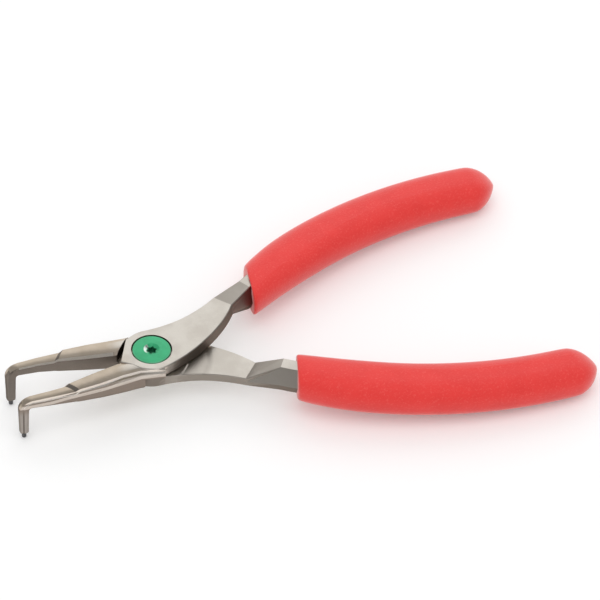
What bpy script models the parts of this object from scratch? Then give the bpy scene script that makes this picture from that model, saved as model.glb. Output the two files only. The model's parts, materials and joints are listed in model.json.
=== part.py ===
"""Circlip pliers with noses bent at a right angle, for retaining rings that sit in bores.

Two crossed levers are lapped at a screw pivot. Each lever is one forging: a flat plate at the
pivot, a six-sided tang that carries the grip, and a tapered jaw whose nose holds a hard pin.
The frame stands on the flat end of the pivot screw: Z runs up the pivot axis, +X runs between
the handles, and the noses point down. The levers are set as far open as they go.
"""
import math

import bmesh
import bpy
from mathutils import Matrix, Vector

MM = 0.001

# Fits
running_gap = 0.3 * MM          # between pieces that touch or slide on each other
pin_fit = 0.15 * MM             # round each tip pin in its bore
grip_fit = 0.3 * MM             # between a tang and the sleeve on it

# Pivot joint
plate_thickness = 3.5 * MM      # from the lap plane to the outer face of one lever
boss_radius = 7.8 * MM          # round head of each plate about the pivot
front_flat = 7.6 * MM           # from the pivot axis to the straight front end of the plate
front_angle = math.radians(154) # where that front end faces, from +X
front_rise = 2.9 * MM           # how far the front end runs outward from its foot
front_drop = 6.1 * MM           # how far it runs inward
round_outer_start = math.radians(117)   # the round head of the plate, on its outer side
round_outer_end = math.radians(91)
round_inner_start = math.radians(213)   # and on its inner side
round_inner_end = math.radians(286)
shoulder_angle = math.radians(140)
closing_travel = math.radians(14)

# Pivot screw
screw_head_radius = 5.35 * MM
screw_head_height = 1.3 * MM
screw_head_gap = 0.38 * MM      # dark ring round the head
screw_dome = 0.22 * MM
screw_edge_break = 0.2 * MM
screw_shoulder_radius = 2.6 * MM
screw_thread_radius = 2.1 * MM
lobe_mean_radius = 1.28 * MM
lobe_height = 0.2 * MM
lobe_count = 6
lobe_depth = 1.5 * MM

# Return spring round the screw shoulder
wire_radius = 0.3 * MM
spring_radius = 3.62 * MM
spring_turns = 1.75
spring_end_gap = 0.15 * MM      # above and below the coil
spring_leg_bend = 0.8 * MM      # radius of the bend from the coil into a leg
spring_leg_reach = 6.3 * MM
spring_pocket_radius = 4.45 * MM
spring_pocket_depth = 1 * MM
leg_play = math.radians(3)      # sideways room for a leg in its slot

# Handle part of a lever
plate_draft = 0.5 * MM
edge_break = 0.22 * MM
plate_end_back = 8.7 * MM       # from the full tang back to the crease where the plate ends
plate_end_slant = 0.55 * MM     # the crease lies further back on its outer side
plate_end_outer = 4.3 * MM      # half widths of the plate at the crease
plate_end_inner = 2.55 * MM
plate_end_heading = math.radians(55)    # of the plate's inner side as it meets the crease
tang_half_height = 4.4 * MM
tang_half_width = 4.45 * MM     # at the parting line
tang_flat_half_width = 1.75 * MM
tang_end_half_width = 3.7 * MM
tang_before_mouth = 3.1 * MM    # length of full tang before the mouth of the grip
mouth_distance = 39.6 * MM      # from the pivot axis to the mouth of the grip
mouth_bearing = math.radians(27.3)
mouth_heading = math.radians(33.1)
handle_bow_radius = 131 * MM
grip_length = 86.5 * MM
tang_short_of_grip = 6.5 * MM

# Grip sleeve, whose open end is slanted so that it is longer on its inner side
top_mouth_start = -1 * MM       # from the mouth point on the handle line to the open end
top_mouth_slant = math.radians(40)
bottom_mouth_start = 1.1 * MM
bottom_mouth_slant = math.radians(17)
mouth_slant_length = 16 * MM    # over which the slant fades
grip_mouth_half_width = 6.3 * MM
grip_mouth_half_height = 5.5 * MM
grip_half_width = 7.6 * MM
grip_half_height = 5.8 * MM
grip_swell_length = 22 * MM
grip_end_half_width = 7.15 * MM
grip_end_half_height = 5.5 * MM
grip_end_lean = 0.4 * MM        # the tip of the grip lies this far towards its outer side
grip_end_length = 8 * MM
grip_roundness = 2.5            # exponent of the rounded outline, 2 is an ellipse
mouth_round = 0.45 * MM

# Jaw and nose
jaw_reach = 38.8 * MM           # from the pivot axis to the axis of the nose, along X
jaw_offset = 6.65 * MM          # from the centreline to the axis of the nose
jaw_side = 8.6 * MM             # outer side of the jaw from the centreline
jaw_splay = 0.3 * MM            # the outer side lies this much further out inside the joint
jaw_neck = 0.5 * MM             # and this much further in where it leaves the joint
jaw_root_inner = 1.7 * MM       # inner side of the jaw at its root
jaw_root_half_height = 3.05 * MM
jaw_crown = 0.08                # rise of the rounded top as a share of its width
crown_inset_joint = 0.6 * MM    # from the outer side in to the edge of the rounded top
crown_inset_root = 1.4 * MM
crown_inset_waist = 1 * MM
crown_inset_step = 0.5 * MM
crown_inset_nose = 0.3 * MM
jaw_wall = 0.7 * MM             # heights down the outer side: wall, ledge and parting rib
jaw_ledge = 0.2 * MM
jaw_rib = 1.1 * MM
rib_undercut = 0.12 * MM
jaw_root_length = 2.7 * MM      # from the round head of the plate to where the jaw tapers
step_reach = 24.3 * MM          # ground step across the jaw
step_slant = 1.35 * MM          # half of the step's run along the jaw
step_inner = 4.6 * MM
step_half_height = 2.35 * MM
step_drop = 0.7 * MM
step_length = 1.05 * MM
shank_half_height = 1.6 * MM    # halfway between the step and the bend
nose_half_width = 1.36 * MM
nose_half_thickness = 1.3 * MM
nose_taper = 0.2 * MM
nose_inner_bend = 0.9 * MM
nose_height = 11.1 * MM         # from the lap plane to the end of the nose
nose_end_bevel = 0.45 * MM

# Tip pins
pin_radius = 0.65 * MM
pin_stand = 1.6 * MM
pin_grip = 3.6 * MM
pin_bevel = 0.15 * MM

lap_height = plate_thickness    # lap plane above the end of the pivot screw
half_gap = running_gap / 2


def make_collection(name):
    """A new collection in the scene."""
    collection = bpy.data.collections.new(name)
    bpy.context.scene.collection.children.link(collection)
    return collection


def finish(name, color, roughness, metallic=1.0):
    """One Principled material."""
    material = bpy.data.materials.new(name)
    material.use_nodes = True
    shader = material.node_tree.nodes["Principled BSDF"]
    shader.inputs["Base Color"].default_value = (*color, 1.0)
    shader.inputs["Roughness"].default_value = roughness
    shader.inputs["Metallic"].default_value = metallic
    return material


def add_object(name, mesh, collection, material=None, parent=None):
    """Link a mesh as a named object."""
    item = bpy.data.objects.new(name, mesh)
    collection.objects.link(item)
    if material:
        mesh.materials.append(material)
    item.parent = parent
    return item


def as_tool(item):
    """Mark an object that only shapes others."""
    item.hide_render = True
    item.display_type = "WIRE"
    return item


def combine(item, operation, tool):
    """One Boolean with another object."""
    modifier = item.modifiers.new(operation.lower() + "_" + tool.name, "BOOLEAN")
    modifier.operation = operation
    modifier.object = tool


def loft(name, rings, sharp_angle=math.radians(30)):
    """Closed solid through rings that all hold the same number of points."""
    bm = bmesh.new()
    rows = [[bm.verts.new(point) for point in ring] for ring in rings]
    count = len(rows[0])
    for first, second in zip(rows, rows[1:]):
        for i in range(count):
            j = (i + 1) % count
            bm.faces.new((first[i], first[j], second[j], second[i]))
    bm.faces.new(rows[0])
    bm.faces.new(rows[-1])
    bmesh.ops.recalc_face_normals(bm, faces=bm.faces)
    mesh = bpy.data.meshes.new(name)
    bm.to_mesh(mesh)
    bm.free()
    mesh.shade_smooth()
    mesh.set_sharp_from_angle(angle=sharp_angle)
    return mesh


def turned(name, profile, steps, collection, material=None, parent=None):
    """Solid of revolution about Z from a profile that runs down its outer side."""
    bm = bmesh.new()
    points = [bm.verts.new((radius, 0, height)) for radius, height in profile]
    for first, second in zip(points, points[1:]):
        bm.edges.new((first, second))
    mesh = bpy.data.meshes.new(name)
    bm.to_mesh(mesh)
    bm.free()
    item = add_object(name, mesh, collection, material, parent)
    screw = item.modifiers.new("turn", "SCREW")
    screw.steps = steps
    screw.render_steps = steps
    screw.use_merge_vertices = True
    screw.merge_threshold = 0.00001
    return item


def polar(radius, angle):
    """Point at a radius and angle from the pivot axis."""
    return Vector((radius * math.cos(angle), radius * math.sin(angle)))


def handle_line(distance):
    """Centre and heading of the bowed handle, from the mouth of the grip towards its end."""
    start = polar(mouth_distance, mouth_bearing)
    heading = mouth_heading - distance / handle_bow_radius
    if distance < 0:
        heading = mouth_heading
        return start + distance * polar(1, heading), heading
    shift = Vector((math.sin(mouth_heading) - math.sin(heading),
                    math.cos(heading) - math.cos(mouth_heading)))
    return start + handle_bow_radius * shift, heading


def section(outer, inner, outer_side, inner_side):
    """Ring in the upright plane through two plan points; each side lists inset and height."""
    along = (inner - outer).normalized()
    ring = [Vector((*(outer + along * inset), height)) for inset, height in outer_side]
    ring += [Vector((*(inner - along * inset), height)) for inset, height in reversed(inner_side)]
    return ring


def plate_side(draft):
    """Side of the flat plate: broken top edge, draft, and a square edge at the lap."""
    top = plate_thickness
    middle = (top + half_gap) / 2
    return [(draft + edge_break, top), (draft, top - edge_break), (draft / 2, middle),
            (0, half_gap + edge_break), (edge_break / 2, half_gap)]


def tang_side(half_width):
    """Side of the tang: two slopes that meet at the parting line."""
    top = tang_half_height
    inset = half_width - tang_flat_half_width
    return [(inset, top), (inset - edge_break, top - edge_break), (0, 0),
            (inset - edge_break, edge_break - top), (inset, -top)]


def bend(start, start_heading, end, end_heading, share):
    """Point on a smooth curve between two points with given headings."""
    pull = (end - start).length / 3
    first = start + polar(pull, start_heading)
    last = end - polar(pull, end_heading)
    rest = 1 - share
    outer_part = start * rest ** 3 + end * share ** 3
    return outer_part + 3 * rest * share * (first * rest + last * share)


def plate_outline():
    """Outer point, inner point and draft at each station of the plate, front to crease."""
    foot = polar(front_flat, front_angle)
    run = polar(1, front_angle - math.pi / 2)
    rows = [(foot + run * front_rise, foot - run * front_drop, 0)]
    steps = 8
    for k in range(steps):
        share = k / steps
        outer = round_outer_start + (round_outer_end - round_outer_start) * share
        inner = round_inner_start + (round_inner_end - round_inner_start) * share
        rows.append((polar(boss_radius, outer), polar(boss_radius, inner), 0))
    centre, heading = handle_line(-tang_before_mouth - plate_end_back)
    along = polar(plate_end_slant, heading)
    out = polar(1, heading + math.pi / 2)
    outer_end = centre - along + out * plate_end_outer
    inner_end = centre + along - out * plate_end_inner
    outer_start = polar(boss_radius, round_outer_end)
    inner_start = polar(boss_radius, round_inner_end)
    steps = 14
    for k in range(steps + 1):
        share = k / steps
        outer = bend(outer_start, round_outer_end - math.pi / 2, outer_end, heading, share)
        inner = bend(inner_start, round_inner_end + math.pi / 2, inner_end, plate_end_heading, share)
        rows.append((outer, inner, plate_draft * min(1, 2 * share)))
    return rows


def handle_sections():
    """Plate and tang of the top lever, from the straight front end to the end in the grip."""
    rings = []
    for outer, inner, draft in plate_outline():
        side = plate_side(draft)
        rings.append(section(outer, inner, side, side))
    reach = grip_length - tang_short_of_grip
    steps = 9
    for distance in [-tang_before_mouth] + [reach * k / steps for k in range(steps + 1)]:
        centre, heading = handle_line(distance)
        half_width = tang_width(distance)
        out = polar(half_width, heading + math.pi / 2)
        side = tang_side(half_width)
        rings.append(section(centre + out, centre - out, side, side))
    return rings


def tang_width(distance):
    """Half width of the tang at its parting line."""
    share = min(1, max(0, distance / (grip_length - tang_short_of_grip)))
    return tang_half_width + (tang_end_half_width - tang_half_width) * share


def jaw_sides(top, bottom, crown_inset):
    """Sides of the jaw: a wall, a ledge and a rib down the outer side, small breaks elsewhere."""
    depth = top - bottom
    fit = min(1, depth / (2 * nose_half_thickness))
    ledge_top = top - jaw_wall * fit
    rib_top = ledge_top - jaw_ledge * fit
    rib_bottom = rib_top - jaw_rib * fit
    rib_inset = 0.1 * crown_inset
    outer = [(crown_inset, top), (0.8 * crown_inset, ledge_top), (0.35 * crown_inset, rib_top),
             (rib_inset, rib_bottom), (rib_inset + rib_undercut, rib_bottom - 0.04 * depth),
             (0.04 * depth, bottom + 0.12 * depth), (0.12 * depth, bottom)]
    inner = [(0.12 * depth, top), (0, top - 0.12 * depth), (0, (top + bottom) / 2),
             (0, bottom + 0.12 * depth), (0.1 * depth, bottom)]
    return outer, inner


def crowned(ring):
    """The same ring with its open top closed by a low arch."""
    start, end = ring[-1], ring[0]
    rise = jaw_crown * (end - start).length
    arch = []
    for share in (0.25, 0.5, 0.75):
        point = start.lerp(end, share)
        point.z += 4 * rise * share * (1 - share)
        arch.append(point)
    return ring + arch


def jaw_stations():
    """Stations from the joint to the bend: along X and Y on the outer and the inner side, height,
    depth and the inset of the rounded top."""
    root = boss_radius + jaw_root_length
    outer_step, inner_step = step_reach - step_slant, step_reach + step_slant
    bend_start = jaw_reach - nose_half_thickness - nose_inner_bend
    full, stepped = jaw_root_half_height, step_half_height
    between = (full + stepped) / 2
    thin = nose_half_thickness
    outer_bend, inner_bend = jaw_offset + nose_half_width, jaw_offset - nose_half_width
    narrow = (inner_bend - step_inner) / 3
    inside, waist = (root - boss_radius) / 2, (root + step_reach) / 2
    shank = (step_reach + step_length + bend_start) / 2
    neck = jaw_side - jaw_neck
    inner_side = jaw_root_inner - jaw_splay
    crown_inset_shank = (crown_inset_step + crown_inset_nose) / 2
    return [(-inside, jaw_side + jaw_splay, -inside, inner_side, full, full, crown_inset_joint),
            (root / 2, neck, root / 2, inner_side, full, full, crown_inset_root),
            (root, (neck + jaw_side) / 2, root, jaw_root_inner, full, full, crown_inset_root),
            (waist - step_slant, jaw_side, waist + step_slant, (jaw_root_inner + step_inner) / 2,
             between, between, crown_inset_waist),
            (outer_step, jaw_side - narrow / 2, inner_step, step_inner, stepped, stepped,
             crown_inset_step),
            (outer_step + step_length, jaw_side - narrow, inner_step + step_length, step_inner + narrow,
             stepped - step_drop, stepped - step_drop / 3, crown_inset_step),
            (shank, (jaw_side + outer_bend) / 2, shank, inner_bend - narrow / 2,
             shank_half_height, shank_half_height, crown_inset_shank),
            (bend_start, outer_bend, bend_start, inner_bend, thin + edge_break / 2, thin,
             crown_inset_nose)]


def jaw_sections():
    """Jaw of the top lever from inside the joint to the end of the nose."""
    rings = []
    for outer_x, outer_y, inner_x, inner_y, top, bottom, crown_inset in jaw_stations():
        outer_side, inner_side = jaw_sides(top, -bottom, crown_inset)
        rings.append(crowned(section(Vector((-outer_x, -outer_y)), Vector((-inner_x, -inner_y)),
                                     outer_side, inner_side)))
    bend_x = nose_half_thickness + nose_inner_bend - jaw_reach
    bend_z = -nose_half_thickness - nose_inner_bend
    steps = 6
    stations = [(math.pi / 2 * k / steps, 0.0) for k in range(1, steps + 1)]
    reach = nose_height + bend_z
    stations += [(math.pi / 2, reach - nose_end_bevel * 1.4), (math.pi / 2, reach)]
    for angle, drop in stations:
        share = drop / reach
        shrink = nose_taper * share + (nose_end_bevel if drop == reach else 0)
        half_width = nose_half_width - shrink
        thickness = nose_half_thickness - shrink
        outer_side, inner_side = jaw_sides(thickness, -thickness, crown_inset_nose)
        flat = crowned(section(Vector((0, -jaw_offset - half_width)),
                               Vector((0, -jaw_offset + half_width)), outer_side, inner_side))
        radius = nose_half_thickness + nose_inner_bend
        turn_x, turn_z = math.cos(angle), math.sin(angle)
        ring = []
        for point in flat:
            away = radius + point.z
            ring.append(Vector((bend_x - away * turn_z, point.y, bend_z + away * turn_x - drop)))
        rings.append(ring)
    return rings


def flip(rings, across, over):
    """Rings turned to the other lever: across mirrors Y, over mirrors Z."""
    return [[Vector((p.x, across * p.y, over * p.z)) for p in ring] for ring in rings]


def block(name, low, high, turn, collection):
    """Block between two corners, turned about Z."""
    bm = bmesh.new()
    bmesh.ops.create_cube(bm, size=1)
    size = Vector(high) - Vector(low)
    middle = (Vector(high) + Vector(low)) / 2
    for vert in bm.verts:
        vert.co = Vector((vert.co.x * size.x, vert.co.y * size.y, vert.co.z * size.z)) + middle
    bmesh.ops.rotate(bm, verts=bm.verts, matrix=Matrix.Rotation(turn, 3, "Z"))
    mesh = bpy.data.meshes.new(name)
    bm.to_mesh(mesh)
    bm.free()
    return as_tool(add_object(name, mesh, collection))


def prism(name, outline, low, high, collection):
    """Upright block on a plan outline."""
    rings = [[Vector((x, y, height)) for x, y in outline] for height in (low, high)]
    return as_tool(add_object(name, loft(name, rings), collection))


def build_lever(name, across, over, bore_profile, parts, tools, material, frame):
    """One lever; across is the side of its handle, over the side of its plate."""
    lever = add_object(name, loft(name, flip(handle_sections(), across, over)), parts, material, frame)
    jaw_mesh = loft(name + "_jaw", flip(jaw_sections(), across, 1))
    jaw = as_tool(add_object(name + "_jaw", jaw_mesh, tools))
    jaw.parent = frame
    far = 4 * boss_radius
    relief = over * (half_gap + edge_break)
    floor, ceiling = min(relief, -over * far), max(relief, -over * far)
    shoulder = block(name + "_shoulder", (-shoulder_distance(), -far, floor), (far, far, ceiling),
                     across * (math.pi - shoulder_angle), tools)
    combine(jaw, "DIFFERENCE", shoulder)
    combine(lever, "UNION", jaw)
    nose = Vector((-jaw_reach, -across * jaw_offset))
    drill = pin_radius + pin_fit
    top = pin_grip - nose_height + running_gap
    below = -2 * nose_height
    socket = turned(name + "_socket", [(0, top), (drill, top), (drill, below), (0, below)], 20, tools)
    socket.location = (nose.x, nose.y, 0)
    bore = turned(name + "_bore", bore_profile, 48, tools)
    for cutter in (socket, bore):
        combine(lever, "DIFFERENCE", as_tool(cutter))
    for cutter in (shoulder, socket, bore):
        cutter.parent = frame
    return lever


def top_bore_profile():
    """Counterbore for the screw head, bore for its shoulder and half of the spring pocket."""
    above = 2 * plate_thickness
    floor = plate_thickness - screw_head_height - running_gap
    wide = screw_head_radius + screw_head_gap
    bore = screw_shoulder_radius + running_gap
    depth = half_gap + spring_pocket_depth
    return [(0, above), (wide, above), (wide, floor), (bore, floor), (bore, depth),
            (spring_pocket_radius, depth), (spring_pocket_radius, -depth), (0, -depth)]


def bottom_bore_profile():
    """The other half of the spring pocket and the bore for the thread."""
    depth = half_gap + spring_pocket_depth
    bore = screw_thread_radius + running_gap
    below = -2 * plate_thickness
    return [(0, depth), (spring_pocket_radius, depth), (spring_pocket_radius, -depth), (bore, -depth),
            (bore, below), (0, below)]


def shoulder_distance():
    """From the pivot axis to the jaw's shoulder, which the plate's outer corner just clears."""
    corner = polar(front_flat, front_angle) + polar(1, front_angle - math.pi / 2) * front_rise
    return corner.dot(polar(1, shoulder_angle)) + running_gap


def spring_slot(name, bearing, sweep, low, high, tools, frame):
    """Slot for one leg of the spring, as wide as the leg moves."""
    half = wire_radius + running_gap
    reach = spring_leg_reach + running_gap
    edges = [polar(reach, bearing + sweep * share) for share in (0, 0.5, 1)]
    side = polar(half, bearing + math.pi / 2) * (1 if sweep > 0 else -1)
    outline = [-side, edges[0] - side, *edges, edges[2] + side, side]
    slot = prism(name, outline, low, high, tools)
    slot.parent = frame
    return slot


def six_lobe_outline():
    """Outline of the driver recess."""
    points = []
    for k in range(60):
        angle = 2 * math.pi * k / 60
        points.append(polar(lobe_mean_radius + lobe_height * math.cos(lobe_count * angle), angle))
    return points


def build_screw(parts, tools, material, frame):
    """Domed head in its counterbore, bearing shoulder and threaded end."""
    top = plate_thickness
    under_head = top - screw_head_height
    shoulder_end = running_gap - half_gap - spring_pocket_depth
    profile = [(0, top + screw_dome)]
    for k in range(1, 5):
        share = k / 5
        profile.append((screw_head_radius * share, top + screw_dome * (1 - share ** 2)))
    profile += [(screw_head_radius - screw_edge_break, top), (screw_head_radius, top - screw_edge_break),
                (screw_head_radius, under_head), (screw_shoulder_radius, under_head),
                (screw_shoulder_radius, shoulder_end + edge_break), (screw_thread_radius, shoulder_end),
                (screw_thread_radius, screw_edge_break - plate_thickness),
                (screw_thread_radius - screw_edge_break, -plate_thickness), (0, -plate_thickness)]
    screw = turned("pivot_screw", profile, 48, parts, material, frame)
    recess = prism("driver_recess", six_lobe_outline(), top - lobe_depth, top + 4 * screw_dome, tools)
    recess.parent = frame
    combine(screw, "DIFFERENCE", recess)
    return screw


def spring_line():
    """Centre line of the spring: a leg, a bend, the coil, a bend and the other leg."""
    rise = 2 * (spring_pocket_depth + half_gap - wire_radius - spring_end_gap)
    bend_centre = spring_radius + spring_leg_bend
    lead = math.asin(spring_leg_bend / bend_centre)
    turn = 2 * math.pi * spring_turns

    def leg(bearing, side, height):
        plan = [polar(spring_leg_reach - wire_radius, bearing)]
        middle = polar(bend_centre, bearing + side * lead)
        for share in (0, 1 / 3, 2 / 3):
            swing = (math.pi / 2 - lead) * share
            plan.append(middle + polar(spring_leg_bend, bearing - side * (math.pi / 2 + swing)))
        return [Vector((*point, height)) for point in plan]

    coil = []
    steps = 30
    for k in range(steps + 1):
        share = k / steps
        place = polar(spring_radius, lead + (turn - 2 * lead) * share)
        coil.append(Vector((*place, rise * (share - 0.5))))
    return leg(0, 1, -rise / 2) + coil + leg(turn, -1, rise / 2)[::-1]


def build_spring(parts, material, frame):
    """Coil round the screw shoulder with one leg out into each lever."""
    points = spring_line()
    curve = bpy.data.curves.new("return_spring", "CURVE")
    curve.dimensions = "3D"
    curve.bevel_depth = wire_radius
    curve.bevel_resolution = 1
    curve.use_fill_caps = True
    spline = curve.splines.new("POLY")
    spline.points.add(len(points) - 1)
    for slot, point in zip(spline.points, points):
        slot.co = (*point, 1)
    curve.materials.append(material)
    spring = bpy.data.objects.new("return_spring", curve)
    parts.objects.link(spring)
    spring.parent = frame
    return spring


def build_pin(name, across, parts, material, frame):
    """Hard pin pressed into the end of a nose."""
    profile = [(0, pin_grip), (pin_radius, pin_grip), (pin_radius, pin_bevel - pin_stand),
               (pin_radius - pin_bevel, -pin_stand), (0, -pin_stand)]
    pin = turned(name, profile, 20, parts, material, frame)
    pin.location = (-jaw_reach, -across * jaw_offset, -nose_height)
    return pin


def round_outline(half_width, half_height, count, power):
    """Rounded outline, fuller than an ellipse where the power is above two."""
    points = []
    for k in range(count):
        angle = 2 * math.pi * (k + 0.5) / count
        c, s = math.cos(angle), math.sin(angle)
        points.append((half_width * math.copysign(abs(c) ** (2 / power), c),
                       half_height * math.copysign(abs(s) ** (2 / power), s)))
    return points


def stand_ring(distance, outline, mouth_start, mouth_slant):
    """An outline stood across the handle line, slanted towards the mouth."""
    centre, heading = handle_line(distance)
    slant = mouth_slant * max(0, 1 - (distance - mouth_start) / mouth_slant_length)
    out = polar(1 / math.cos(slant), heading - slant + math.pi / 2)
    lean = grip_end_lean * max(0, 1 - (grip_length - distance) / grip_end_length) ** 2
    return [Vector((*(centre + out * (u + lean)), v)) for u, v in outline]


def grip_size(distance):
    """Half width and half height of the sleeve along its length."""
    swell = min(1, max(0, distance / grip_swell_length))
    swell = math.sin(swell * math.pi / 2)
    width = grip_mouth_half_width + (grip_half_width - grip_mouth_half_width) * swell
    height = grip_mouth_half_height + (grip_half_height - grip_mouth_half_height) * swell
    taper = max(0, (distance - grip_swell_length) / (grip_length - grip_swell_length)) ** 2
    width += (grip_end_half_width - grip_half_width) * taper
    height += (grip_end_half_height - grip_half_height) * taper
    left = grip_length - distance
    if left < grip_end_length:
        share = 1 - max(left, 0) / grip_end_length
        fall = (1 - share ** 2) ** 0.75
        width, height = width * fall, height * fall
    return width, height


def tang_clearance(distance, count):
    """Outline of the hollow round the tang, spread over the given number of points."""
    half_width = tang_width(distance) + 1.3 * grip_fit
    half_height = tang_half_height + grip_fit
    flat = tang_flat_half_width + 0.6 * grip_fit
    corners = [(half_width, 0), (flat, half_height), (-flat, half_height),
               (-half_width, 0), (-flat, -half_height), (flat, -half_height)]
    points = []
    for k in range(count):
        angle = 2 * math.pi * (k + 0.5) / count
        ray = polar(1, angle)
        best = None
        for a, b in zip(corners, corners[1:] + corners[:1]):
            a, b = Vector(a), Vector(b)
            edge = b - a
            cross = ray.x * edge.y - ray.y * edge.x
            if abs(cross) > 1e-12:
                t = (a.x * edge.y - a.y * edge.x) / cross
                if t > 0:
                    best = t if best is None else min(best, t)
        points.append((ray.x * best, ray.y * best))
    return points


def build_grip(name, across, mouth_start, mouth_slant, parts, material, frame):
    """Dipped sleeve: closed blunt end, swelling body and an open mouth round the tang."""
    count = 24
    rings = []

    def add_ring(distance, outline):
        rings.append(stand_ring(distance, outline, mouth_start, mouth_slant))

    steps = 6
    for k in range(steps):
        share = (k + 0.35) / steps
        distance = grip_length - grip_end_length * (1 - math.cos(share * math.pi / 2))
        add_ring(distance, round_outline(*grip_size(distance), count, grip_roundness))
    body_start = grip_length - grip_end_length
    body_steps = 12
    for k in range(body_steps):
        distance = body_start + (mouth_start - body_start) * k / body_steps
        add_ring(distance, round_outline(*grip_size(distance), count, grip_roundness))
    width, height = grip_size(mouth_start)
    add_ring(mouth_start + mouth_round, round_outline(width, height, count, grip_roundness))
    width, height = width - mouth_round, height - mouth_round
    add_ring(mouth_start, round_outline(width, height, count, grip_roundness))
    hollow_end = grip_length - tang_short_of_grip + grip_fit
    hollow_steps = 9
    for k in range(hollow_steps + 1):
        distance = mouth_start + (hollow_end - mouth_start) * k / hollow_steps
        add_ring(distance, tang_clearance(distance, count))
    return add_object(name, loft(name, flip(rings, across, 1)), parts, material, frame)


def build():
    """The whole pair of pliers."""
    for old in list(bpy.data.objects):
        bpy.data.objects.remove(old)
    parts = make_collection("circlip_pliers")
    tools = make_collection("cutters")
    nickel = finish("satin_nickel_steel", (0.62, 0.58, 0.54), 0.34)
    green = finish("green_screw", (0.05, 0.48, 0.24), 0.3, 0.6)
    dark = finish("hardened_pin_steel", (0.09, 0.09, 0.1), 0.35)
    wire = finish("spring_wire", (0.45, 0.45, 0.46), 0.3)
    red = finish("red_dipped_plastic", (0.8, 0.06, 0.05), 0.5, 0.0)

    fixed = bpy.data.objects.new("fixed_side", None)
    moving = bpy.data.objects.new("moving_side", None)
    for frame in (fixed, moving):
        parts.objects.link(frame)
        frame.location = (0, 0, lap_height)

    top = build_lever("top_lever", 1, 1, top_bore_profile(), parts, tools, nickel, moving)
    bottom = build_lever("bottom_lever", -1, -1, bottom_bore_profile(), parts, tools, nickel, fixed)
    depth = half_gap + spring_pocket_depth
    end = 2 * math.pi * spring_turns
    slot = spring_slot("top_leg_slot", end, closing_travel + leg_play, 0, depth, tools, moving)
    combine(top, "DIFFERENCE", slot)
    slot = spring_slot("bottom_leg_slot", 0, leg_play, -depth, 0, tools, fixed)
    combine(bottom, "DIFFERENCE", slot)

    build_screw(parts, tools, green, fixed)
    build_spring(parts, wire, fixed)
    build_grip("top_grip", 1, top_mouth_start, top_mouth_slant, parts, red, moving)
    build_grip("bottom_grip", -1, bottom_mouth_start, bottom_mouth_slant, parts, red, fixed)
    build_pin("top_tip_pin", 1, parts, dark, moving)
    build_pin("bottom_tip_pin", -1, parts, dark, fixed)


build()
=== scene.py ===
import json
import math

import bmesh
import bpy
from mathutils import Matrix, Vector

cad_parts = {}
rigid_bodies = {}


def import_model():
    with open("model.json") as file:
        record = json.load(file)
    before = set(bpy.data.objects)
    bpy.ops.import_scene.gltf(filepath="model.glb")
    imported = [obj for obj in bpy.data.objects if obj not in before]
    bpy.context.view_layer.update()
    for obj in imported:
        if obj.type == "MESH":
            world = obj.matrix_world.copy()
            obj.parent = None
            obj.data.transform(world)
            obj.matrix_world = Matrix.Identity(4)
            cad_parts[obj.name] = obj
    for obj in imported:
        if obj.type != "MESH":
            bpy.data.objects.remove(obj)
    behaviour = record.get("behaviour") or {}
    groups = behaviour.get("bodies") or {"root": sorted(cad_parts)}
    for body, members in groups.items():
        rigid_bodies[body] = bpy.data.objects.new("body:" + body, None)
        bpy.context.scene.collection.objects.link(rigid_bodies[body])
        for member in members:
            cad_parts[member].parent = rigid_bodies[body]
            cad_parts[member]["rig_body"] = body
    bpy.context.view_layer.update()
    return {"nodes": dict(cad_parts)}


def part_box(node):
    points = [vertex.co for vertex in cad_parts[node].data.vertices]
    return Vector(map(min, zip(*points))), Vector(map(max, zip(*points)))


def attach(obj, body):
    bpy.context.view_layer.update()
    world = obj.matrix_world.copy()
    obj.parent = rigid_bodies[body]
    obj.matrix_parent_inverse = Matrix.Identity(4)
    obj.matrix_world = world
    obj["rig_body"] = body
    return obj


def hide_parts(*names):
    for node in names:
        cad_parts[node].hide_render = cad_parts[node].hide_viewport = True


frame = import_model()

MM = 0.001

# Camera of the photograph, in the frame's own axes
camera_place = Vector((-216.54, -666.41, 701.38)) * MM
camera_lens = 213.498
camera_sensor = 36
camera_reach = 20
camera_elevation = math.radians(43.87)
camera_roll = math.radians(3.01)
camera_heading = math.radians(21.3)

# Where the parts lie: the lap is the plane in which the two plates meet
pin_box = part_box("top_tip_pin")
sleeve_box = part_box("top_grip")
screw_reach = 3.5 * MM
lap_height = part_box("pivot_screw")[0].z + screw_reach
head_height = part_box("pivot_screw")[1].z

# Studio: directions are an azimuth, 0 away from the camera and 90 to its right, and an elevation
white = (1.0, 1.0, 1.0, 1)
black = (0.0, 0.0, 0.0, 1)
room_light = 0.78
# Name, azimuth, elevation, distance, width, height and energy of each lamp
lamps = [("back_softbox", 0, 40, 1.2, 1.5, 0.9, 2.3), ("top_fill", 180, 70, 1.2, 1.0, 1.0, 3.6)]
tent_radius = 2.5
# Azimuth and elevation of each window, and the half angles to which it is white and at which it ends
windows = [(9, 20, 31, 51), (138, 42, 7, 22), (180, 86, 2, 11)]
tent_left = (0.34, 0.34, 0.34, 1)
tent_right = (0.13, 0.13, 0.13, 1)
floor_size = 8
floor_tone = (0.86, 0.86, 0.86, 1)
floor_gap = 0.15 * MM           # below the pins, so that nothing cuts into the floor
sleeve_rest = 12 * MM           # from the sleeves' ends to where they lie on the floor
near_glow = 0.14                # of the floor, which keeps it white in the picture
far_glow = 0.4                  # added to that from the first of these distances to the second
glow_start = 0.2
glow_end = 1.1

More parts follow.
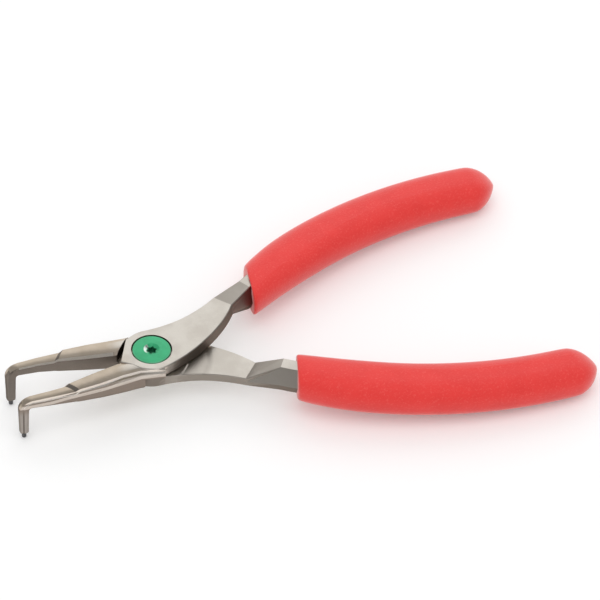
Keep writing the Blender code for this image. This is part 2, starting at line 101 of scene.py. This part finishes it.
# Edges and shading
merge_distance = 0.004 * MM
flat_angle = math.radians(0.6)
quad_fold = math.radians(60)    # two triangles become one face up to this fold and this skew
quad_skew = math.radians(80)
forged_edge = 0.14 * MM
forged_angle = math.radians(29)
screw_edge = 0.1 * MM
screw_angle = math.radians(28)
pin_edge = 0.05 * MM
pin_angle = math.radians(30)
smooth_angle = math.radians(50)
wire_angle = math.radians(60)
crease_angle = math.radians(2.5)

# Screw head, and the shallow dish round its driver recess: radii at its foot and at its mouth
head_radius = 5.35 * MM
dish_foot = 1.4 * MM
dish_mouth = 2.45 * MM
dish_depth = 0.6 * MM
dish_overlap = 0.1 * MM         # the cutter's height above the head
dish_sides = 72
glint_side = (-0.93, 0.36)      # direction of the painted glint from the pivot axis

# Ground ring on the lap faces, from the pivot axis, with a painted shade on it
groove_start = 9.9 * MM
groove_end = 15.2 * MM
groove_slope = 0.6 * MM
groove_run_out = 2.2 * MM
groove_depth = 0.2 * MM
groove_side = (1 * MM, 2 * MM)  # it comes in along X between these
lap_band = 0.25 * MM            # and it keeps within this height of the lap
lap_band_edge = 0.05 * MM

# Places on a lever: the handle lies along +X and the jaw along -X
joint_blend = 6 * MM            # the outer side changes from the jaw's to the handle's over this
plate_side = (1.5 * MM, 3 * MM)     # the painted shade of the plate's side comes in between these
handle_start = 12 * MM
plate_top = 3.5 * MM            # of the top lever, above the lap
plate_edge = (0.15 * MM, 0.3 * MM)  # its top ends between these depths
jaw_ground = (6 * MM, 13 * MM)  # the jaws' ground tone comes in between these
jaw_lead = 5 * MM               # and this much nearer the pivot below the plate
ridge_start = 11 * MM
ridge_end = 34 * MM
step_place = 24.3 * MM          # ground step across the jaw
step_reach = 3 * MM
nose_start = (30 * MM, 36 * MM)     # the painted shade of the nose comes in between these
nose_depth = (1 * MM, 4 * MM)       # and between these depths below the lap
nose_seam = 39.1 * MM           # parting line down the outer side of the nose, painted as a dark line of shade
seam_width = (0.1 * MM, 0.3 * MM)   # half widths of its painted dark middle and of all of it
# Places of the jaw's outer edge along -X, and its heights above the lap, in mm
jaw_edge = [(6, 3.5), (10.5, 3.05), (24.3, 2.35), (31.5, 1.6), (39, 1.45)]
lit_wall = 0.95 * MM            # depths below that edge: the wall's painted highlight ends, the rib's painted highlight starts and ends
rib_start = 1.5 * MM
rib_end = 2.65 * MM
band_edge = 0.1 * MM            # these bands change softly, this far to either side

# How a face is known by its normal, here by its Z, which is 1 on a level top
top_lean = 0.85
level_lean = 0.998
slant_lean = 0.3
step_lean = 0.5
underside_lean = -0.9
ridge_lean = (0.45, 0.93)
strip_lean = (0.15, 0.93)
outer_lean = (0.25, 0.45)       # flanks fade out between these
inner_lean = (0.55, 0.8)
# And here by its Y, which is above 0 where it faces the handle's side of the lever, or by its X
ridge_across = 0.3
strip_across = -0.25
step_along = -0.3

# Tones of the nickel
plate_tones = (0.79, 0.745, 0.675, 1), (0.73, 0.68, 0.61, 1)
ground_tones = (0.7, 0.6, 0.49, 1), (0.625, 0.53, 0.42, 1)
# Painted shade on the plate's side and the jaw's lower side, painted highlights on the jaw's wall and
# rib
plate_side_shade_tone = (0.36, 0.32, 0.28, 1)
wall_highlight_tone = (0.9, 0.81, 0.72, 1)
rib_highlight_tone = (0.68, 0.6, 0.53, 1)
lower_side_shade_tone = (0.3, 0.245, 0.205, 1)
# Painted shade on the ground ring beside the upper plate
groove_shade_tone = (0.5, 0.45, 0.4, 1)
# Painted shade on the handles' tilted facets
facet_shade_tone = (0.42, 0.375, 0.33, 1)
# Painted highlight on the jaws' outer chamfer strips
strip_highlight_tone = (0.95, 0.89, 0.81, 1)
# Painted shade on the jaws' inner flanks
inner_shade_tone = (0.24, 0.205, 0.175, 1)
# Painted shade on the noses
nose_inner_shade_tone = (0.23, 0.2, 0.175, 1)
nose_outer_shade_tone = (0.42, 0.375, 0.34, 1)
seam_shade_tone = (0.17, 0.145, 0.125, 1)
# Painted shade on the jaws' step faces
step_shade_tone = (0.34, 0.3, 0.265, 1)
# Painted highlight on the jaws' inner ridges
ridge_highlight_tone = (0.92, 0.86, 0.78, 1)
speckle_tone = (0.42, 0.385, 0.35, 1)
grazing_tone = (0.3, 0.28, 0.26, 1)

# Tones of the screw, the pins, the spring and the sleeves
green_tones = (0.033, 0.45, 0.195, 1), (0.026, 0.39, 0.165, 1)
# Painted highlight on the screw's rim
rim_highlight_green = (0.25, 0.68, 0.42, 1)
# Painted shade in the driver recess
recess_shade_green = (0.004, 0.05, 0.025, 1)
# Painted glint, as bright bare metal in the dish
glint_metal = (0.85, 0.97, 0.9, 1)
pin_tones = (0.09, 0.09, 0.095, 1), (0.14, 0.135, 0.13, 1)
wire_tones = (0.42, 0.41, 0.4, 1), (0.3, 0.285, 0.27, 1)
red_tones = (0.81, 0.026, 0.02, 1), (0.77, 0.021, 0.016, 1)
pore_red = (0.9, 0.15, 0.13, 1)
bloom_red = (1.0, 0.76, 0.74, 1)


class Value:
    """A socket whose arithmetic adds Math nodes to its finish."""

    def __init__(self, finish, socket):
        self.finish = finish
        self.socket = socket

    def calculate(self, operation, first, second):
        return self.finish.node("ShaderNodeMath", {"operation": operation}, {0: first, 1: second})

    def __add__(self, other):
        return self.calculate("ADD", self, other)

    __radd__ = __add__

    def __sub__(self, other):
        return self.calculate("SUBTRACT", self, other)

    def __rsub__(self, other):
        return self.calculate("SUBTRACT", other, self)

    def __mul__(self, other):
        return self.calculate("MULTIPLY", self, other)

    __rmul__ = __mul__

    def __truediv__(self, other):
        return self.calculate("DIVIDE", self, other)

    def __pow__(self, other):
        return self.calculate("POWER", self, other)

    def __abs__(self):
        return self.finish.node("ShaderNodeMath", {"operation": "ABSOLUTE"}, {0: self})

    def between(self, low, high):
        """0 below low, 1 above high and a smooth rise between them."""
        inputs = {"Value": self, "From Min": low, "From Max": high}
        return self.finish.node("ShaderNodeMapRange", {"interpolation_type": "SMOOTHSTEP"}, inputs)

    def within(self, low, high, soft):
        """1 from low to high and 0 outside, changing softly to either side of both."""
        return self.between(low - soft, low + soft) * (1 - self.between(high - soft, high + soft))


class Finish:
    """One material: its shader's constants, and the nodes that vary it."""

    def __init__(self, name, **constants):
        self.material = bpy.data.materials.new(name)
        self.material.use_nodes = True
        self.tree = self.material.node_tree
        self.shader = self.tree.nodes["Principled BSDF"]
        for key, value in constants.items():
            self.input(key).default_value = value

    def input(self, key):
        """The shader's socket for a name such as base_color."""
        return self.shader.inputs[key.replace("_", " ").title().replace("Ior", "IOR")]

    def node(self, kind, settings=None, inputs=None, output=0):
        """Adds a node, sets it up and feeds its sockets."""
        node = self.tree.nodes.new(kind)
        for key, value in (settings or {}).items():
            setattr(node, key, value)
        for key, value in (inputs or {}).items():
            if isinstance(value, Value):
                self.tree.links.new(value.socket, node.inputs[key])
            else:
                node.inputs[key].default_value = value
        return Value(self, node.outputs[output])

    def place(self):
        """Position on the piece, in metres."""
        return self.node("ShaderNodeTexCoord", output="Object")

    def along(self, axis):
        """Position along one axis, in metres."""
        return self.node("ShaderNodeSeparateXYZ", {}, {0: self.place()}, output=axis)

    def from_pivot(self):
        """Distance from the pivot axis, in metres."""
        return (self.along("X") * self.along("X") + self.along("Y") * self.along("Y")) ** 0.5

    def facing(self, azimuth, elevation):
        """1 where the tent lies in that direction, -1 where it lies opposite."""
        inputs = {0: self.place(), 1: towards(azimuth, elevation) / tent_radius}
        return self.node("ShaderNodeVectorMath", {"operation": "DOT_PRODUCT"}, inputs, output=1)

    def mark(self, name):
        """One of the marks that surface_marks records on the mesh."""
        return self.node("ShaderNodeAttribute", {"attribute_name": name}, output="Fac")

    def noise(self, size, detail=2.0, stretch=(1, 1, 1)):
        """Noise from 0 to 1 with grains of a size in metres, stretched along an axis."""
        scaled = self.node("ShaderNodeMapping", {}, {"Vector": self.place(), "Scale": stretch})
        inputs = {"Vector": scaled, "Scale": 1 / size, "Detail": detail, "Roughness": 0.6}
        return self.node("ShaderNodeTexNoise", {}, inputs)

    def blend(self, factor, first, second):
        """Colour between two colours."""
        inputs = {"Factor": factor, 6: first, 7: second}
        return self.node("ShaderNodeMix", {"data_type": "RGBA"}, inputs, output=2)

    def bump(self, height, depth):
        """Normal for a height from 0 to 1 that stands for a depth in metres."""
        return self.node("ShaderNodeBump", {}, {"Height": height, "Distance": depth})

    def feed(self, **values):
        """Links what varies to the shader."""
        for key, value in values.items():
            self.tree.links.new(value.socket, self.input(key))
        return self.material


def lap_groove(finish):
    """The shallow ground ring round the pivot on the lap faces, from 0 outside it to 1 in it."""
    radius = finish.from_pivot()
    ring = radius.between(groove_start, groove_start + groove_slope) * (
        1 - radius.between(groove_end, groove_end + groove_run_out))
    on_lap = finish.along("Z").within(lap_height - lap_band, lap_height + lap_band, lap_band_edge)
    return ring * on_lap * finish.along("X").between(*groove_side)


def outer_side(finish):
    """Colour of a lever's outer side: painted highlights on the jaw's wall and rib, painted shade
    below them and on the plate's side.
    """
    depth = finish.mark("below_edge")
    rib = depth.within(rib_start, rib_end, band_edge)
    lower = finish.blend(rib, lower_side_shade_tone, rib_highlight_tone)
    below_wall = depth.between(lit_wall - band_edge, lit_wall + band_edge)
    side = finish.blend(below_wall, wall_highlight_tone, lower)
    return finish.blend(finish.along("X").between(*plate_side), side, plate_side_shade_tone)


def nose_side(finish):
    """Colour of a nose: painted shade, dark inside and lighter outside, with a painted dark line along
    the parting line.
    """
    seam = 1 - abs(finish.along("X") + nose_seam).between(*seam_width)
    outward = finish.blend(seam, nose_outer_shade_tone, seam_shade_tone)
    return finish.blend(finish.mark("outer_flank"), nose_inner_shade_tone, outward)


def satin_nickel():
    """Nickel over a forging: blasted grain on the plates and browner ground jaws, with painted shade
    on the inner flanks, noses, step faces, handle facets, ground ring and plate sides, and painted
    highlights on the outer strips, walls, ribs and ridges.
    """
    finish = Finish("satin_nickel", metallic=1.0, specular_tint=grazing_tone)
    cloud = finish.noise(7 * MM, 3.0).between(0.35, 0.65)
    grain = finish.noise(0.16 * MM)
    lines = finish.noise(0.25 * MM, stretch=(0.08, 1, 1))
    below_plate = (lap_height + plate_top - finish.along("Z")).between(*plate_edge)
    jaw = (below_plate * jaw_lead - finish.along("X")).between(*jaw_ground)
    below_lap = (lap_height - finish.along("Z")).between(*nose_depth)
    nose = below_lap * (-1 * finish.along("X")).between(*nose_start)
    groove = lap_groove(finish)
    plate = finish.blend(cloud, *plate_tones)
    ground = finish.blend(cloud, *ground_tones)
    tone = finish.blend(jaw, plate, ground)
    # Painted shade on the ground ring
    tone = finish.blend(groove * 0.35, tone, groove_shade_tone)
    # Painted shade on the handles' facets
    tone = finish.blend(finish.mark("facet") * 0.6, tone, facet_shade_tone)
    # Painted highlight on the outer strips
    tone = finish.blend(finish.mark("strip"), tone, strip_highlight_tone)
    # Painted highlights and painted shade on the outer flanks
    tone = finish.blend(finish.mark("outer_flank"), tone, outer_side(finish))
    # Painted shade on the inner flanks
    tone = finish.blend(finish.mark("inner_flank"), tone, inner_shade_tone)
    # Painted shade on the noses
    tone = finish.blend(nose, tone, nose_side(finish))
    # Painted shade on the step faces
    tone = finish.blend(finish.mark("step_face"), tone, step_shade_tone)
    # Painted highlight on the ridges
    tone = finish.blend(finish.mark("ridge"), tone, ridge_highlight_tone)
    color = finish.blend(grain.between(0.45, 0.8) * 0.22, tone, speckle_tone)
    flank = finish.mark("outer_flank") + finish.mark("inner_flank")
    roughness = 0.28 + cloud * 0.05 + grain * 0.08 + finish.mark("ridge") * 0.25 + flank * 0.12
    fine = finish.bump(grain * (1 - jaw) + lines * jaw, 0.008 * MM)
    lowered = finish.node("ShaderNodeBump", {"invert": True},
                          {"Height": groove, "Distance": groove_depth, "Normal": fine})
    return finish.feed(base_color=color, roughness=roughness, normal=lowered)


def green_coat():
    """Bright green coat on the screw, with a painted highlight on its rim, painted shade in the driver
    recess and a painted glint, as bright bare metal, on one side of the dish.
    """
    finish = Finish("green_coat", coat_roughness=0.15)
    radius = finish.from_pivot()
    glint_facing = (finish.along("X") * glint_side[0] + finish.along("Y") * glint_side[1]) / radius
    in_dish = radius.between(dish_foot - 0.05 * MM, dish_foot + 0.1 * MM) * (
        1 - radius.between(dish_mouth - 0.35 * MM, dish_mouth - 0.15 * MM))
    # Painted glint, as bright bare metal on one side of the dish
    painted_glint = glint_facing.between(0.55, 0.85) * in_dish
    deep = (head_height - finish.along("Z")).between(0.3 * MM, 0.9 * MM)
    recess = (1 - radius.between(dish_foot, dish_foot + 0.15 * MM)) * deep
    rim = radius.between(head_radius - 0.35 * MM, head_radius - 0.15 * MM)
    cloud = finish.noise(2.5 * MM, 3.0).between(0.3, 0.7)
    grain = finish.noise(0.12 * MM)
    # Painted highlight on the rim
    rim_highlighted = finish.blend(rim * 0.4, finish.blend(cloud, *green_tones), rim_highlight_green)
    # Painted shade in the driver recess
    shaded_coat = finish.blend(recess * 0.85, rim_highlighted, recess_shade_green)
    color = finish.blend(painted_glint, shaded_coat, glint_metal)
    roughness = 0.32 + grain * 0.1 - painted_glint * 0.12
    return finish.feed(base_color=color, roughness=roughness, metallic=0.35 + painted_glint * 0.65,
                       coat_weight=0.4 + painted_glint * 0.3, normal=finish.bump(grain, 0.004 * MM))


def hard_pin_steel():
    """Dark hardened steel with turning marks round the pin."""
    finish = Finish("hard_pin_steel", metallic=1.0)
    rings = finish.noise(0.1 * MM, stretch=(0.1, 0.1, 1))
    cloud = finish.noise(0.8 * MM).between(0.3, 0.7)
    return finish.feed(base_color=finish.blend(cloud, *pin_tones), roughness=0.3 + rings * 0.15,
                       normal=finish.bump(rings, 0.006 * MM))


def drawn_wire():
    """Oiled spring wire."""
    finish = Finish("drawn_wire", metallic=1.0)
    cloud = finish.noise(1.5 * MM, 3.0).between(0.3, 0.7)
    grain = finish.noise(0.08 * MM)
    return finish.feed(base_color=finish.blend(cloud, *wire_tones), roughness=0.26 + grain * 0.14,
                       normal=finish.bump(grain, 0.004 * MM))


def red_sleeve_skin():
    """Soft red plastic with a sandy grain that catches the light."""
    finish = Finish("red_sleeve_skin", sheen_weight=0.9, sheen_roughness=0.42, sheen_tint=bloom_red)
    cloud = finish.noise(9 * MM, 3.0).between(0.3, 0.7)
    sand = finish.noise(0.6 * MM, 3.0)
    fine = finish.noise(0.25 * MM)
    pores = (sand * 0.6 + fine * 0.4).between(0.5, 0.68)
    color = finish.blend(pores * 0.35, finish.blend(cloud, *red_tones), pore_red)
    height = sand * 0.7 + fine * 0.3
    return finish.feed(base_color=color, roughness=0.5 + sand * 0.14,
                       normal=finish.bump(height, 0.09 * MM))


def pick(item):
    """Makes one object the only one selected, and active."""
    bpy.ops.object.select_all(action="DESELECT")
    item.select_set(True)
    bpy.context.view_layer.objects.active = item


def edit_all(item):
    """Opens one object for editing, with all of its mesh selected."""
    pick(item)
    bpy.ops.object.mode_set(mode="EDIT")
    bpy.ops.mesh.select_all(action="SELECT")


def copied(node, name):
    """A copy of a CAD node whose triangles are merged."""
    piece = frame["nodes"][node].copy()
    piece.data = piece.data.copy()
    piece.name = name
    for key in list(piece.keys()):
        del piece[key]
    piece.parent = None
    bpy.context.scene.collection.objects.link(piece)
    edit_all(piece)
    bpy.ops.mesh.remove_doubles(threshold=merge_distance)
    bpy.ops.mesh.dissolve_limited(angle_limit=flat_angle)
    bpy.ops.object.mode_set(mode="OBJECT")
    return piece


def modified(piece, kind, **settings):
    """Adds a modifier and applies it."""
    modifier = piece.modifiers.new(kind.lower(), kind)
    for key, value in settings.items():
        setattr(modifier, key, value)
    pick(piece)
    bpy.ops.object.modifier_apply(modifier=modifier.name)


def shaded(piece, angle):
    """Shades a piece smooth, apart from edges sharper than the angle."""
    pick(piece)
    bpy.ops.object.shade_smooth_by_angle(angle=angle)


def crease_top(piece):
    """Marks the faint creases that cross the top of a handle as sharp."""
    mesh = bmesh.new()
    mesh.from_mesh(piece.data)
    for edge in mesh.edges:
        faces = edge.link_faces
        upward = len(faces) == 2 and min(face.normal.z for face in faces) > top_lean
        on_handle = min(vert.co.x for vert in edge.verts) > handle_start
        if upward and on_handle and edge.calc_face_angle() > crease_angle:
            edge.smooth = False
    mesh.to_mesh(piece.data)
    mesh.free()


def rounded(piece, width, angle, creased=False):
    """Breaks the sharp edges and shades the rest smooth, with the flat faces kept flat."""
    modified(piece, "BEVEL", width=width, segments=2, limit_method="ANGLE", angle_limit=angle,
             use_clamp_overlap=True)
    shaded(piece, smooth_angle)
    if creased:
        crease_top(piece)
    modified(piece, "WEIGHTED_NORMAL", keep_sharp=True)


def finished(piece, material, node):
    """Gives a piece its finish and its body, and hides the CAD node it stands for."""
    piece.data.materials.clear()
    piece.data.materials.append(material)
    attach(piece, frame["nodes"][node]["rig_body"])
    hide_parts(node)


def ramp(value, low, high):
    """0 below low, 1 above high and an even rise between them."""
    return min(1, max(0, (value - low) / (high - low)))


def edge_level(reach):
    """Height of the jaw's outer edge at a distance along -X from the pivot."""
    for (start, low), (end, high) in zip(jaw_edge, jaw_edge[1:]):
        if reach < end * MM:
            share = max(0, (reach / MM - start) / (end - start))
            return lap_height + (low + (high - low) * share) * MM
    return lap_height + jaw_edge[-1][1] * MM


def face_marks(normal, centre, side):
    """How far one face of a lever belongs to each kind of surface."""
    across = normal.y * side
    handle = ramp(centre.x, 0, joint_blend)
    inward = 1 - handle if across > 0 else handle
    upright = (1 - ramp(normal.z, *outer_lean)) * (normal.z > underside_lean)
    steep = 1 - ramp(abs(normal.z), *inner_lean)
    on_ridge = -ridge_end < centre.x < -ridge_start and across > ridge_across
    on_strip = centre.x < 0 and across < strip_across
    on_step = abs(centre.x + step_place) < step_reach and normal.x < step_along
    facet_lean = slant_lean if across > 0 else top_lean
    return {
        "outer_flank": upright * (1 - inward),
        "inner_flank": steep * inward,
        "ridge": float(on_ridge and ridge_lean[0] < normal.z < ridge_lean[1]),
        "strip": float(on_strip and strip_lean[0] < normal.z < strip_lean[1]),
        "step_face": float(on_step and normal.z > step_lean),
        "facet": float(centre.x > handle_start and facet_lean < normal.z < level_lean),
    }


def surface_marks(piece, side):
    """Records what each face of a lever is, and how far each point lies below the jaw's edge.

    The side is 1 for the lever whose handle lies towards +Y and -1 for the other."""
    faces = [face_marks(face.normal, face.center, side) for face in piece.data.polygons]
    for name in faces[0]:
        values = [marks[name] for marks in faces]
        piece.data.attributes.new(name, "FLOAT", "FACE").data.foreach_set("value", values)
    depths = [edge_level(-vertex.co.x) - vertex.co.z for vertex in piece.data.vertices]
    piece.data.attributes.new("below_edge", "FLOAT", "POINT").data.foreach_set("value", depths)


def forged_lever(node, side, material):
    """One lever with the edges that forging dies and grinding leave."""
    piece = copied(node, "forged_" + node)
    rounded(piece, forged_edge, forged_angle, creased=True)
    surface_marks(piece, side)
    finished(piece, material, node)


def dipped_sleeve(node, material):
    """One grip sleeve, smooth along its length, with a rounded lip at its mouth."""
    piece = copied(node, "dipped_" + node)
    edit_all(piece)
    bpy.ops.mesh.tris_convert_to_quads(face_threshold=quad_fold, shape_threshold=quad_skew)
    bpy.ops.object.mode_set(mode="OBJECT")
    modified(piece, "SUBSURF", levels=2, render_levels=2)
    shaded(piece, smooth_angle)
    finished(piece, material, node)


def turned_screw(material):
    """The pivot screw with a broken rim and a shallow dish round the driver recess."""
    piece = copied("pivot_screw", "domed_pivot_screw")
    bpy.ops.object.select_all(action="DESELECT")
    middle = (0, 0, head_height + dish_overlap - dish_depth / 2)
    bpy.ops.mesh.primitive_cone_add(vertices=dish_sides, radius1=dish_foot, radius2=dish_mouth,
                                    depth=dish_depth, location=middle)
    countersink = bpy.context.active_object
    modified(piece, "BOOLEAN", operation="DIFFERENCE", object=countersink, solver="EXACT")
    bpy.data.objects.remove(countersink)
    rounded(piece, screw_edge, screw_angle)
    finished(piece, material, "pivot_screw")


def hard_pin(node, material):
    """One tip pin with the edge of its end broken."""
    piece = copied(node, "hard_" + node)
    rounded(piece, pin_edge, pin_angle)
    finished(piece, material, node)


def coil_spring(material):
    """The return spring with round wire."""
    piece = copied("return_spring", "wound_return_spring")
    modified(piece, "SUBSURF", levels=2, render_levels=2)
    shaded(piece, wire_angle)
    finished(piece, material, "return_spring")


def towards(azimuth, elevation):
    """Direction from the pivot, of length 1."""
    turn = math.radians(azimuth) + camera_heading
    flat = math.cos(math.radians(elevation))
    return Vector((flat * math.sin(turn), flat * math.cos(turn), math.sin(math.radians(elevation))))


def soft_light(name, azimuth, elevation, distance, width, height, energy):
    """One rectangular soft light that faces the pivot and that reflections don't show."""
    light = bpy.data.lights.new(name, "AREA")
    light.shape = "RECTANGLE"
    light.size = width
    light.size_y = height
    light.energy = energy
    item = bpy.data.objects.new(name, light)
    bpy.context.scene.collection.objects.link(item)
    item.visible_glossy = False
    direction = towards(azimuth, elevation)
    item.location = direction * distance
    item.rotation_euler = direction.to_track_quat("Z", "Y").to_euler()


def pale_floor_paint():
    """Matt paint with a glow that only the camera, reflections and glass see, stronger far away."""
    finish = Finish("pale_floor", base_color=floor_tone, roughness=0.9, specular_ior_level=0.0,
                    emission_strength=1.0)
    path = finish.tree.nodes.new("ShaderNodeLightPath")
    camera, glossy, through = (Value(finish, path.outputs[name]) for name in (
        "Is Camera Ray", "Is Glossy Ray", "Is Transmission Ray"))
    seen = camera.calculate("MAXIMUM", camera, glossy + through)
    away = finish.node("ShaderNodeVectorMath", {"operation": "LENGTH"}, {0: finish.place()}, output=1)
    level = seen * (near_glow + away.between(glow_start, glow_end) * far_glow)
    return finish.feed(emission_color=finish.blend(level, black, white))


def build_floor():
    """A pale floor that touches the two pins and the undersides of the sleeves."""
    bpy.ops.object.select_all(action="DESELECT")
    bpy.ops.mesh.primitive_plane_add(size=floor_size)
    floor = bpy.context.active_object
    floor.name = "floor"
    start, low = pin_box[0].x, pin_box[0].z
    rise = sleeve_box[0].z - low
    run = sleeve_box[1].x - sleeve_rest - start
    floor.rotation_euler = (0, -math.atan(rise / run), 0)
    floor.location = (start, 0, low - floor_gap)
    floor.data.materials.append(pale_floor_paint())


def build_world():
    """White surroundings for the camera and reflections, and a softer level for lighting."""
    world = bpy.data.worlds.new("studio")
    world.use_nodes = True
    bpy.context.scene.world = world
    tree = world.node_tree
    background = tree.nodes["Background"]
    background.inputs["Color"].default_value = white
    path = tree.nodes.new("ShaderNodeLightPath")
    level = tree.nodes.new("ShaderNodeMapRange")
    level.inputs["To Min"].default_value = room_light
    level.inputs["To Max"].default_value = 1.0
    either = tree.nodes.new("ShaderNodeMath")
    either.operation = "ADD"
    either.use_clamp = True
    tree.links.new(path.outputs["Is Camera Ray"], either.inputs[0])
    tree.links.new(path.outputs["Is Glossy Ray"], either.inputs[1])
    tree.links.new(either.outputs[0], level.inputs["Value"])
    tree.links.new(level.outputs["Result"], background.inputs["Strength"])


def tent_cloth():
    """Grey cloth, lighter on the left, with the white windows."""
    finish = Finish("tent", base_color=black, roughness=1.0, emission_strength=1.0)
    light = 0
    for azimuth, elevation, inner, outer in windows:
        edge = math.cos(math.radians(outer)), math.cos(math.radians(inner))
        light += finish.facing(azimuth, elevation).between(*edge)
    wall = finish.blend(finish.facing(90, 0).between(-1, 1), tent_left, tent_right)
    return finish.feed(emission_color=finish.blend(light, wall, white))


def build_tent():
    """The tent over the table, seen only in reflections."""
    bpy.ops.object.select_all(action="DESELECT")
    bpy.ops.mesh.primitive_uv_sphere_add(segments=48, ring_count=24, radius=tent_radius)
    tent = bpy.context.active_object
    tent.name = "tent"
    edit_all(tent)
    bpy.ops.mesh.bisect(plane_co=(0, 0, 0), plane_no=(0, 0, -1), clear_outer=True)
    bpy.ops.object.mode_set(mode="OBJECT")
    tent.data.materials.append(tent_cloth())
    tent.visible_camera = False
    tent.visible_diffuse = False
    tent.visible_shadow = False
    tent.visible_transmission = False


def build_camera():
    """The photograph's viewpoint."""
    forward = Vector((0, math.cos(camera_elevation), -math.sin(camera_elevation)))
    level = Vector((1, 0, 0))
    upright = Vector((0, math.sin(camera_elevation), math.cos(camera_elevation)))
    right = math.cos(camera_roll) * level + math.sin(camera_roll) * upright
    up = math.cos(camera_roll) * upright - math.sin(camera_roll) * level
    turn = Matrix.Rotation(-camera_heading, 3, "Z")
    placed = Matrix((turn @ right, turn @ up, -(turn @ forward))).transposed().to_4x4()
    placed.translation = camera_place
    camera = bpy.data.objects.new("camera", bpy.data.cameras.new("camera"))
    bpy.context.scene.collection.objects.link(camera)
    camera.matrix_world = placed
    camera.data.sensor_width = camera_sensor
    camera.data.lens = camera_lens
    camera.data.clip_end = camera_reach
    bpy.context.scene.camera = camera


build_camera()
build_floor()
build_world()
build_tent()
for lamp in lamps:
    soft_light(*lamp)

nickel = satin_nickel()
sleeve_skin = red_sleeve_skin()
pin_steel = hard_pin_steel()
forged_lever("top_lever", 1, nickel)
forged_lever("bottom_lever", -1, nickel)
dipped_sleeve("top_grip", sleeve_skin)
dipped_sleeve("bottom_grip", sleeve_skin)
hard_pin("top_tip_pin", pin_steel)
hard_pin("bottom_tip_pin", pin_steel)
turned_screw(green_coat())
coil_spring(drawn_wire())

bpy.context.scene.view_settings.view_transform = "Standard"
